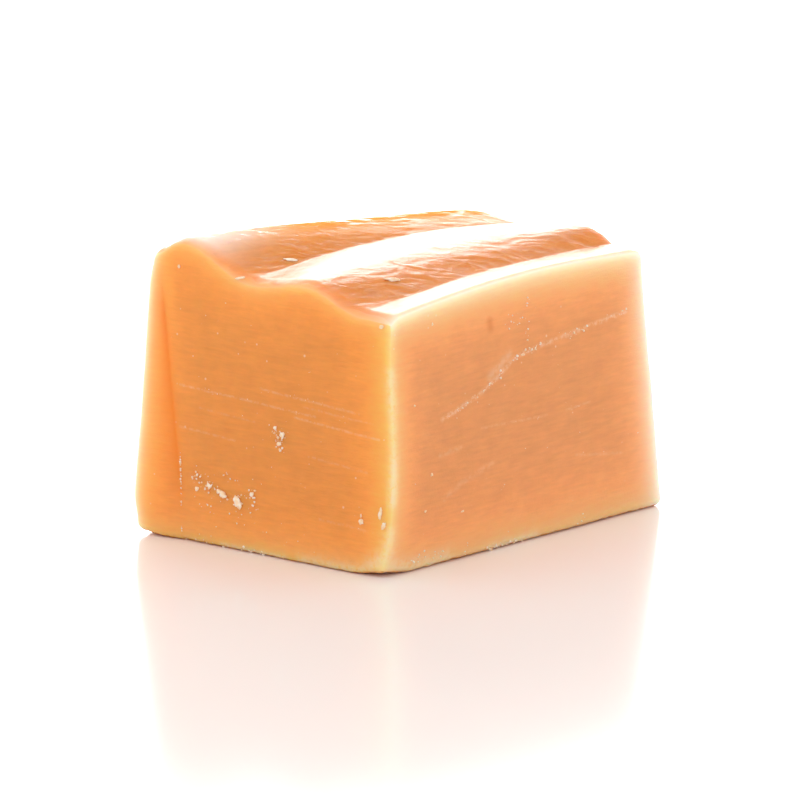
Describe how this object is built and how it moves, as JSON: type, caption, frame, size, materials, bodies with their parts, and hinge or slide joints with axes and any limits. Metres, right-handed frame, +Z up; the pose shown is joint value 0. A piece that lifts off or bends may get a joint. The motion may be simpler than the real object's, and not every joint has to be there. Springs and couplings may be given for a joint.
{
  "type": "piece of fudge",
  "caption": "Small knife-cut block of caramel-coloured fudge with four slightly leaning cut faces, a flat base and a glossy top skin rolled into long soft ridges.",
  "frame": {"origin": "middle of the flat base, on the surface that the piece stands on", "axes": "+X along the ridges of the top, from the near cut end to the far one; +Y across them, from the near side to the far side; +Z up"},
  "size_m": [0.0274, 0.0206, 0.0188],
  "materials": {
    "fudge": null
  },
  "bodies": {
    "root": {"fudge": "fudge"}
  },
  "joints": []
}
